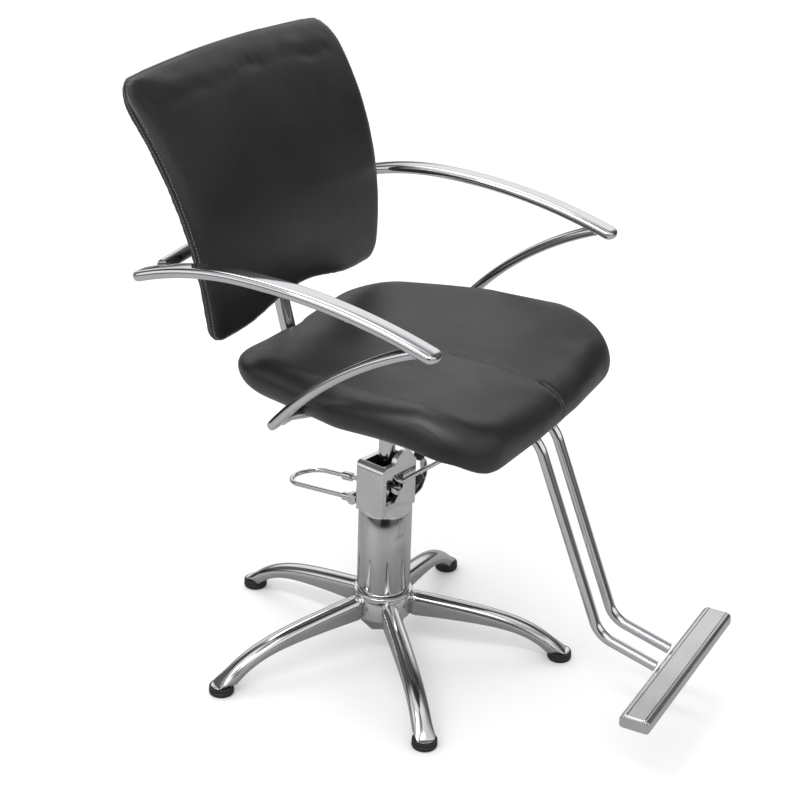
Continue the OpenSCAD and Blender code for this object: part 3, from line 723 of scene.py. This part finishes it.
def build_frame():
    for side in ("right", "left"):
        low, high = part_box(f"arm_{side}")
        build_arm(f"arm_{side}", f"strut_{side}", (low.x + high.x) / 2)
    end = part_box("upper_crossbar")[1].x
    bowed = 0.190
    path = [(-end, 0.219, 0.725), (-bowed, 0.2152, 0.7356), (bowed, 0.2152, 0.7356), (end, 0.219, 0.725)]
    seat_chrome("back_rail", moving_frame_tube(filleted(path, 0.05), RAIL_R, 32), "upper_crossbar")
    low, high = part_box("lower_crossbar")
    y_end, y_mid, z_low, z_high = low.y + RAIL_R, high.y - RAIL_R, low.z + RAIL_R, high.z - RAIL_R
    outer = high.x - RAIL_END
    inner = outer - math.hypot(z_high - z_low, y_mid - y_end) / math.tan(RAIL_KNEE)
    path = [(high.x, y_end, z_high), (outer, y_end, z_high), (inner, y_mid, z_low),
            (-inner, y_mid, z_low), (-outer, y_end, z_high), (low.x, y_end, z_high)]
    seat_chrome("seat_rail", moving_frame_tube(filleted(path, 0.040), RAIL_R, 32), "lower_crossbar")
    low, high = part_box("spine_tube")
    r = high.x
    path = stations([(0.091,), (0.045, 75), (0.074,), (0.090, 8.6), (0.118,)], (low.y, low.z + r), 0.0)
    seat_chrome("spine", swept(in_yz(path), round_section(r, 40), (1, 0, 0)), "spine_tube")


def build_footrest():
    low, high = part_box("footrest_tubes")
    r = 0.0085
    x = high.x - r
    path = stations([(0.1478,), (0.060, 68), (0.280,), (0.045, -52.4), (0.078,)],
                    (high.y, high.z - r), math.pi)
    tubes = [swept(in_yz(path, side * x), round_section(r, 32), (1, 0, 0)) for side in (-1, 1)]
    seat_chrome("footrest_legs", joined(tubes), "footrest_tubes")
    low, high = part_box("footplate")
    mid_y, mid_z = (low.y + high.y) / 2, (low.z + high.z) / 2
    half_w, half_h = (high.y - low.y) / 2, (high.z - low.z) / 2
    rings = []
    for x, inset in ((0, 0.0022), (0.0008, 0.0009), (0.0022, 0.0002), (0.004, 0.0)):
        rings.append([(low.x + x, mid_y + a, mid_z + b) for a, b in plate_section(half_w, half_h, inset)])
    rings += [[(low.x + high.x - q[0], q[1], q[2]) for q in ring] for ring in rings[::-1]]
    piece("foot_tread", *loft(rings), BRUSHED, "seat", "satin_chrome", ("footplate", "footplate_caps"), 28)


def plate_section(half_w, half_h, inset):
    """Section of the footplate: soft-cornered slab whose top carries two raised border lines."""
    w, h, edge = half_w - inset, half_h - inset, 0.0085 - inset
    corner = [(w - edge + edge * math.cos(a), h - edge + edge * math.sin(a))
              for a in np.radians(np.linspace(0, 90, 9))]
    rib, rise = 0.0145, 0.0012
    ribs = [(rib + 0.0016, h), (rib + 0.0008, h + rise), (rib - 0.0008, h + rise), (rib - 0.0016, h)]
    right = corner + ribs
    top = right + [(-a, b) for a, b in reversed(right)]
    edge = 0.006 - inset
    low = [(-w + edge - edge * math.cos(a), -h + edge - edge * math.sin(a))
           for a in np.radians(np.linspace(0, 90, 7))]
    return top + low + [(-a, b) for a, b in reversed(low)]


# CUSHIONS

def smooth(t):
    t = np.clip(t, 0, 1)
    return t * t * (3 - 2 * t)


def hull_outline(circles, count):
    """Evenly spaced outline of the hull of (x, y, radius) circles, mirrored across x = 0."""
    circles = [(s * x, y, r) for x, y, r in circles for s in (1, -1)]
    points = []
    for a in np.radians(np.arange(-90, 270, 1.0)):
        n = np.array([math.cos(a), math.sin(a)])
        x, y, r = max(circles, key=lambda c: c[0] * n[0] + c[1] * n[1] + c[2])
        points.append((x + r * n[0], y + r * n[1]))
    points.append(points[0])
    path = np.array(points)
    run = np.linalg.norm(np.diff(path, axis=0), axis=1).sum()
    return spaced(path, run / count)[:-1]


def pillow(outline, centre, top_edge, low_edge, heights, inner=16):
    """Closed form over a plan outline: rings from the middle of the top over the rim and back.
    heights(x, y) gives top, rim and bottom; the edges are radii of the rounding, measured inward."""
    outline, centre = np.asarray(outline), np.asarray(centre, float)
    reach = np.linalg.norm(outline - centre, axis=1)
    rings = []
    arc = np.radians(np.linspace(90, 0, 10))
    fractions = np.linspace(0.04, 1, inner)[:-1]
    for frac in fractions:
        rings.append((frac, None, 1.0))
    for a in arc:
        rings.append((None, top_edge * (1 - math.cos(a)), math.sin(a)))
    for a in arc[::-1][1:]:
        rings.append((None, low_edge * (1 - math.cos(a)), -math.sin(a)))
    for frac in fractions[::-1]:
        rings.append((frac, None, -1.0))
    out = []
    for frac, inset, rise in rings:
        edge = top_edge if rise > 0 else low_edge
        share = (1 - edge / reach) * frac if inset is None else 1 - inset / reach
        at = centre + (outline - centre) * share[:, None]
        top, rim, low = heights(at[:, 0], at[:, 1])
        z = rim + (top - rim) * rise if rise >= 0 else rim + (rim - low) * rise
        out.append(np.column_stack([at, z]))
    return np.array(out)


def soft_mesh(name, rings, mould=None):
    """Mesh of a closed form, remeshed to an even grid; mould maps its points into the row frame."""
    verts, faces = loft(rings)
    if mould is not None:
        verts = mould(verts)
    mesh = bpy.data.meshes.new(name)
    mesh.from_pydata([tuple(v) for v in verts], [], faces)
    made = bpy.data.objects.new(name, mesh)
    bpy.context.scene.collection.objects.link(made)
    grid = made.modifiers.new("grid", "REMESH")
    grid.mode = "VOXEL"
    grid.voxel_size = VOXEL
    settle(made)
    return made


def settle(made):
    """Replaces an object's mesh with its evaluated one and drops its modifiers."""
    graph = bpy.context.evaluated_depsgraph_get()
    mesh = bpy.data.meshes.new_from_object(made.evaluated_get(graph))
    old = made.data
    made.modifiers.clear()
    made.data = mesh
    mesh.name = made.name
    bpy.data.meshes.remove(old)


def points_of(made):
    co = np.empty(len(made.data.vertices) * 3)
    made.data.vertices.foreach_get("co", co)
    return co.reshape(-1, 3)


def set_points(made, co):
    made.data.vertices.foreach_set("co", np.asarray(co, float).ravel())
    made.data.update()


def averaged(made, values, rounds):
    """Values of the points smoothed over their neighbours."""
    edges = np.empty(len(made.data.edges) * 2, int)
    made.data.edges.foreach_get("vertices", edges)
    one, two = edges.reshape(-1, 2).T
    share = 1 / np.bincount(edges, minlength=len(values))[:, None]
    for _ in range(rounds):
        total = [np.bincount(one, values[two, k], len(values))
                 + np.bincount(two, values[one, k], len(values)) for k in range(3)]
        values = np.column_stack(total) * share
    return values


def puff(made, held, cap, face):
    """Swells a cushion by cloth simulation. held is each point's pin weight, cap the most it moves, and
    face the direction of the padding's give; movement across it is mostly held by the foam."""
    rest = points_of(made)
    group = made.vertex_groups.new(name="held")
    for i in np.nonzero(held > 0.02)[0]:
        group.add([int(i)], float(held[i]), "REPLACE")
    cloth = made.modifiers.new("cloth", "CLOTH")
    for key, value in COVER.items():
        setattr(cloth.settings, key, value)
    cloth.settings.effector_weights.gravity = 0
    cloth.settings.vertex_group_mass = "held"
    cloth.collision_settings.use_collision = False
    cloth.point_cache.frame_start = 1
    cloth.point_cache.frame_end = FRAMES
    for f in range(1, FRAMES + 1):
        bpy.context.scene.frame_set(f)
    settle(made)
    bpy.context.scene.frame_set(1)
    made.vertex_groups.clear()
    moved = points_of(made) - rest
    calm = averaged(made, moved, CALM_ROUNDS)
    moved = calm + (moved - calm) * WRINKLE
    straight = face * (moved * face).sum(1)[:, None]
    moved = straight + (moved - straight) * ACROSS
    length = np.linalg.norm(moved, axis=1)
    set_points(made, rest + moved * (cap / (cap + length))[:, None])


def refine(made):
    """One subdivision of the settled cushion, smooth shaded."""
    sub = made.modifiers.new("finer", "SUBSURF")
    sub.levels = sub.render_levels = 1
    settle(made)
    made.data.shade_smooth()


def distance_to(points, path):
    """Distance of each point from a polyline."""
    best = np.full(len(points), 1e9)
    for a, b in zip(path[:-1], path[1:]):
        d = b - a
        t = np.clip((points - a) @ d / max(d @ d, 1e-12), 0, 1)
        best = np.minimum(best, np.linalg.norm(points - (a + t[:, None] * d), axis=1))
    return best


def normals_of(made):
    normals = np.empty(len(made.data.vertices) * 3)
    made.data.vertices.foreach_get("normal", normals)
    return normals.reshape(-1, 3)


def groove(made, path, depth, width):
    """Presses a sewn line into a cushion along its normals."""
    co, normals = points_of(made), normals_of(made)
    lo, hi = path.min(0) - 3 * width, path.max(0) + 3 * width
    near = np.nonzero(((co > lo) & (co < hi)).all(1))[0]
    away = distance_to(co[near], path)
    co[near] -= normals[near] * (depth * np.exp(-((away / width) ** 2)))[:, None]
    set_points(made, co)


def on_surface(tree, points):
    """Nearest points of a surface and their normals."""
    found = [tree.find_nearest(Vector(p)) for p in points]
    return np.array([list(f[0]) for f in found]), np.array([list(f[1]) for f in found])


def stitches(name, rows, cover, pitch, length, r):
    """Rows of thread laid on a cover: each stitch is a short bowed tube that dips in at both ends."""
    tree = BVHTree.FromObject(cover, bpy.context.evaluated_depsgraph_get())
    parts = []
    for row in rows:
        path = spaced(row, pitch)
        spots, normals = on_surface(tree, path)
        ahead = np.gradient(spots, axis=0)
        ahead /= np.linalg.norm(ahead, axis=1)[:, None]
        for p, t, n in zip(spots, ahead, normals):
            along = np.linspace(-0.5, 0.5, 5)
            lift = r * (1.1 - 5.2 * along ** 2 * 1.4)
            bow = [p + t * length * a + n * h for a, h in zip(along, lift)]
            parts.append(moving_frame_tube(bow, r, 6))
    piece(name, *joined(parts), THREAD, "seat", "upholstery")


def upholster(made, node_name):
    """Gives a finished cushion its leather, its body and the CAD node that it stands in for."""
    made.data.materials.clear()
    made.data.materials.append(LEATHER)
    finish_piece(made, "seat", (node_name,))


def looped(line):
    """A closed outline with its first point again at its end."""
    return np.vstack([line, line[:1]])


# Seat plan as circles of the right half, heights and the roll over its front edge
SEAT_PLAN = ((0.186, -0.204, 0.090), (0.182, -0.060, 0.094), (0.134, 0.080, 0.100), (0.060, -0.090, 0.212))
SEAT_MID = (0.0, -0.070)
SEAT_EDGE = 0.042
SEAT_SIDE_UNDER = 0.075      # how far the underside slopes in below the sides
SEAT_FRONT_UNDER = 0.024


def seat_heights(x, y):
    """Top, rim and underside of the seat pad: dished along its middle, sides raised, waterfall front."""
    front = np.maximum(0, -0.180 - y) / 0.118
    rear = np.maximum(0, y - 0.080) / 0.100
    dish = 0.019 * np.minimum(1.15, (np.abs(x) / 0.215) ** 2.0) * (1 - 0.45 * np.clip(front, 0, 1))
    top = 0.5555 + dish - 0.020 * front ** 1.3 - 0.005 * rear ** 2
    lifted = smooth((y + 0.300) / 0.200)
    rim = 0.5035 + 0.0425 * lifted
    low = 0.4765 + 0.0245 * smooth((y + 0.285) / 0.045)
    return top, rim, low


def under_edge(outline):
    """Reach of the rounding below the rim at each outline point: tight in front, long at the sides."""
    lifted = smooth((outline[:, 1] + 0.270) / 0.080)
    return SEAT_FRONT_UNDER + (SEAT_SIDE_UNDER - SEAT_FRONT_UNDER) * lifted


def build_seat():
    outline = hull_outline(SEAT_PLAN, 200)
    pinch = np.exp(-((outline[:, 0] / 0.030) ** 2)) * (outline[:, 1] > 0.1)
    outline[:, 1] -= 0.007 * pinch
    middle = np.array(SEAT_MID)
    outline = middle + (outline - middle) * (1 - 0.0012 / np.linalg.norm(outline - middle, axis=1))[:, None]
    seat = soft_mesh("seat_pad", pillow(outline, SEAT_MID, SEAT_EDGE, under_edge(outline), seat_heights))
    co = points_of(seat)
    seam = seat_seam()
    sewn = np.exp(-((distance_to(co, seam) / 0.006) ** 2))
    flat = smooth((0.530 - 0.018 * smooth((-0.16 - co[:, 1]) / 0.1) - co[:, 2]) / 0.010)
    puff(seat, np.clip(np.maximum(sewn, flat), 0, 1), 0.007, np.array([0.0, 0.0, 1.0]))
    refine(seat)
    groove(seat, seam, 0.0022, 0.0028)
    notch = np.array([[0, -0.2640, 0.5420], [0, -0.2820, 0.5340]])
    groove(seat, notch, 0.0035, 0.0060)
    upholster(seat, "seat_cushion")
    rows = [spaced(seam, 0.004) + np.array([x, 0, 0]) for x in (-0.0042, 0.0042)]
    stitches("seat_stitching", rows, seat, 0.0054, 0.0036, 0.00050)


def seat_seam():
    """Centre seam from the middle of the seat over the front roll to the underside."""
    return filleted([(0, -0.105, 0.5560), (0, -0.200, 0.5550), (0, -0.286, 0.5370), (0, -0.3010, 0.505),
                     (0, -0.2950, 0.4770)], 0.03)


def back_width(z):
    low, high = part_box("back_cushion")
    return high.x - 0.044 * (1 - np.clip((z - low.z) / (high.z + 0.005 - low.z), 0, 1)) ** 1.6


def back_outline(inset, count=240):
    """Front view of the backrest in x and z: two lower lobes, splayed sides and a slightly arched top."""
    low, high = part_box("back_cushion")
    corner, lobe = 0.036, 0.026
    z0, z1 = low.z + lobe, high.z - corner - 0.008
    arch = [(0.018 * i, low.z + inset + 0.024 * math.cos(math.radians(9 * i)) ** 2) for i in range(11)]
    w0, w1 = float(back_width(z0)), float(back_width(z1))
    foot = [(w0 - lobe + (lobe - inset) * math.cos(a), z0 + (lobe - inset) * math.sin(a))
            for a in np.radians(np.arange(-80, 1, 10))]
    side = [(float(back_width(z)) - inset, z) for z in np.linspace(z0, z1, 25)]
    top = [(w1 - corner + (corner - inset) * math.cos(a), z1 + (corner - inset) * math.sin(a))
           for a in np.radians(np.arange(10, 81, 10))]
    crown = [((w1 - corner) * (1 - i / 8), z1 + corner - inset + 0.008 * (1 - (1 - i / 8) ** 2))
             for i in range(1, 9)]
    half = arch + foot + side + top + crown
    other = [(-x, z) for x, z in half[-2:0:-1]]
    path = np.array(half + other + [half[0]])
    run = np.linalg.norm(np.diff(path, axis=0), axis=1).sum()
    return spaced(path, run / count)[:-1]


def back_mould(verts):
    """From x, height and depth behind the front face to the row frame, around the back's curve."""
    verts = np.asarray(verts, float)
    rise = np.arcsin(np.clip((verts[:, 1] - BACK_Z) / (BACK_R - BACK_RIM), -1, 1))
    r = BACK_R - verts[:, 2]
    return np.column_stack([verts[:, 0], BACK_Y - r * np.cos(rise), BACK_Z + r * np.sin(rise)])


def back_heights(x, z):
    """Front face, rim and rear of the back cushion as depth; the face crowns forward of the rim."""
    wide = np.clip(np.abs(x) / 0.26, 0, 1)
    tall = np.clip(np.abs(z - 0.80) / 0.185, 0, 1)
    front = -0.0035 * (1 - wide ** 4) * (1 - tall ** 4) + 0.0005
    return front, np.full_like(x, BACK_RIM), np.full_like(x, 0.0220)


def side_line(depth):
    """Closed line around the backrest's side at a depth behind its front face."""
    line = looped(back_outline(-BACK_SWELL - 0.002))
    return back_mould(np.column_stack([line, np.full(len(line), depth)]))


def crease_top(back):
    """Soft uneven band under the top edge where the cover turns over the padding."""
    co, normals = points_of(back), normals_of(back)
    away = np.hypot(co[:, 1] - BACK_Y, co[:, 2] - BACK_Z)
    front = smooth((away - BACK_R + 0.010) / 0.006)
    x = co[:, 0]
    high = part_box("back_cushion")[1]
    wave = 0.0035 * np.sin(23 * x + 0.8) + 0.0022 * np.sin(51 * x + 2.1)
    below = high.z - 0.033 - 0.030 * (x / high.x) ** 4 + wave - co[:, 2]
    depth = 0.0011 + 0.0005 * np.sin(37 * x + 1.3) + 0.0003 * np.sin(83 * x)
    press = depth * np.exp(-((below / 0.0085) ** 2)) - 0.0008 * np.exp(-(((below + 0.020) / 0.010) ** 2))
    pucker = 0.00010 * np.sin(140 * x + 6 * np.sin(19 * x)) * np.exp(-(((below + 0.006) / 0.012) ** 2))
    reach = smooth((high.x - 0.030 - np.abs(x)) / 0.030)
    set_points(back, co - normals * ((press + pucker) * front * reach)[:, None])


def build_back():
    middle = (0.0, 0.800)
    rings = pillow(back_outline(-BACK_SWELL), middle, 0.026, 0.0050, back_heights, 18)
    back = soft_mesh("back_pad", rings, back_mould)
    co = points_of(back)
    away = np.hypot(co[:, 1] - BACK_Y, co[:, 2] - BACK_Z)
    rear = smooth((BACK_R - 0.014 - away) / 0.006)
    spoke = np.column_stack([np.zeros(len(co)), co[:, 1] - BACK_Y, co[:, 2] - BACK_Z])
    puff(back, rear, 0.006, spoke / away[:, None])
    refine(back)
    crease_top(back)
    upholster(back, "back_cushion")
    groove(back, side_line(0.0088), 0.0014, 0.0022)
    rows = [side_line(depth) for depth in (0.0048, 0.0128)]
    stitches("back_stitching", rows, back, 0.0052, 0.0033, 0.00080)


def panel_heights(x, z):
    wide = np.clip(np.abs(x) / 0.25, 0, 1)
    bulge = 0.0022 * (1 - wide ** 4)
    return np.full_like(x, 0.0200), np.full_like(x, 0.0250), 0.0295 + bulge


def build_back_panel():
    """Upholstered panel that closes the rear of the backrest."""
    rings = pillow(back_outline(0.0125), (0.0, 0.800), 0.003, 0.0050, panel_heights, 18)
    panel = soft_mesh("back_panel", rings, back_mould)
    refine(panel)
    upholster(panel, "back_board")
    line = looped(back_outline(0.0200))
    row = back_mould(np.column_stack([line, np.full(len(line), 0.0320)]))
    stitches("panel_stitching", [row], panel, 0.0062, 0.0044, 0.00045)


# STUDIO

FLOOR_HALF = 9.0
FLOOR_WHITE = (0.93, 0.93, 0.93)
FLOOR_IN_METAL = (0.35, 0.35, 0.35)   # what reflections see of the floor


def build_floor():
    corners = [(x * FLOOR_HALF, y * FLOOR_HALF, 0) for x, y in ((-1, -1), (1, -1), (1, 1), (-1, 1))]
    mesh = bpy.data.meshes.new("floor")
    mesh.from_pydata(corners, [], [(0, 1, 2, 3)])
    floor = bpy.data.objects.new("floor", mesh)
    bpy.context.scene.collection.objects.link(floor)
    mat, tree, bsdf = new_material("floor_white", FLOOR_WHITE, 0.0, 0.62)
    bsdf.inputs["Specular IOR Level"].default_value = 0.15
    light = node(tree, "ShaderNodeLightPath")
    tree.links.new(mixed(tree, light.outputs["Is Glossy Ray"], FLOOR_WHITE, FLOOR_IN_METAL),
                   bsdf.inputs["Base Color"])
    mesh.materials.append(mat)


WORLD_WHITE = (1.08, 1.08, 1.08)
SEEN_WHITE = (1.2, 1.2, 1.2)
# What reflections see of the studio: brightness at steps of height, and the dark gaps around it
STUDIO_LEVELS = ((0.00, 0.25), (0.09, 0.05), (0.20, 0.22), (0.30, 0.95),
                 (0.58, 1.0), (0.66, 0.30), (0.80, 0.75), (1.0, 1.1))
GAPS = 3.0
GAP_SHADE = 0.12


def build_world():
    """White surroundings for the eye; for reflections, a studio with bright panels and dark gaps."""
    world = bpy.data.worlds.new("studio")
    bpy.context.scene.world = world
    world.use_nodes = True
    tree = world.node_tree
    coord = node(tree, "ShaderNodeTexCoord")
    split = node(tree, "ShaderNodeSeparateXYZ")
    tree.links.new(coord.outputs["Generated"], split.inputs["Vector"])
    ramp = node(tree, "ShaderNodeValToRGB")
    stops = ramp.color_ramp.elements
    for at, _ in STUDIO_LEVELS[1:-1]:
        stops.new(at)
    for stop, (_, level) in zip(stops, STUDIO_LEVELS):
        stop.color = (level, level, level, 1)
    tree.links.new(remap(tree, split.outputs["Z"], 0, 1, -0.1, 1.0), ramp.inputs["Fac"])
    turn = computed(tree, "ARCTAN2", split.outputs["Y"], split.outputs["X"])
    waves = computed(tree, "SINE", computed(tree, "MULTIPLY", turn, GAPS))
    gaps = remap(tree, waves, GAP_SHADE, 1.0, -0.75, -0.25)
    studio = mixed(tree, 1.0, ramp.outputs["Color"], gaps, blend="MULTIPLY")
    light = node(tree, "ShaderNodeLightPath")
    lit = mixed(tree, light.outputs["Is Glossy Ray"], WORLD_WHITE, studio)
    seen = mixed(tree, light.outputs["Is Camera Ray"], lit, SEEN_WHITE)
    back = tree.nodes["Background"]
    tree.links.new(seen, back.inputs["Color"])
    back.inputs["Strength"].default_value = 1.0


def build_light(name, place_at, size, power):
    """Soft panel aimed at the middle of the chair."""
    light = bpy.data.lights.new(name, "AREA")
    light.shape = "RECTANGLE"
    light.size, light.size_y = size
    light.energy = power
    light.spread = math.pi
    made = bpy.data.objects.new(name, light)
    made.location = place_at
    made.rotation_mode = "QUATERNION"
    made.rotation_quaternion = (LIT_POINT - Vector(place_at)).to_track_quat("-Z", "Y")
    bpy.context.scene.collection.objects.link(made)


LIT_POINT = Vector((0, 0, 0.5))
PANELS = (("key", (-2.6, -2.0, 3.4), (2.2, 1.6), 26), ("strip", (-2.2, 0.0, 3.1), (2.4, 0.30), 34),
          ("top", (0.9, 0.9, 3.4), (1.8, 1.4), 16))
CAMERA_LENS = 81
CAMERA_AT = (-2.3195, -1.2333, 1.602)
CAMERA_TURN = 27.6
CAMERA_DOWN = 23.6
CAMERA_ROLL = 1.8


def build_camera():
    turn, down, roll = (math.radians(a) for a in (CAMERA_TURN, CAMERA_DOWN, CAMERA_ROLL))
    ahead = Vector((math.cos(turn) * math.cos(down), math.sin(turn) * math.cos(down), -math.sin(down)))
    camera = bpy.data.cameras.new("camera")
    camera.lens, camera.sensor_width = CAMERA_LENS, 36
    made = bpy.data.objects.new("camera", camera)
    made.location = CAMERA_AT
    made.rotation_mode = "QUATERNION"
    made.rotation_quaternion = ahead.to_track_quat("-Z", "Y") @ Quaternion((0, 0, 1), roll)
    bpy.context.scene.collection.objects.link(made)
    bpy.context.scene.camera = made
    bpy.context.scene.view_settings.view_transform = "Standard"


def build_all():
    for part in frame["record"]["subparts"]:
        dress_cad(part["node"], SLOT_LOOK[part["material_slot"]])
    frame["nodes"]["pump_head"].data.materials[0] = HEAD
    build_base()
    build_column()
    build_pedal()
    build_brake()
    build_release()
    build_frame()
    build_footrest()
    build_seat()
    build_back()
    build_back_panel()
    build_floor()
    build_world()
    for panel in PANELS:
        build_light(*panel)
    build_camera()


build_all()
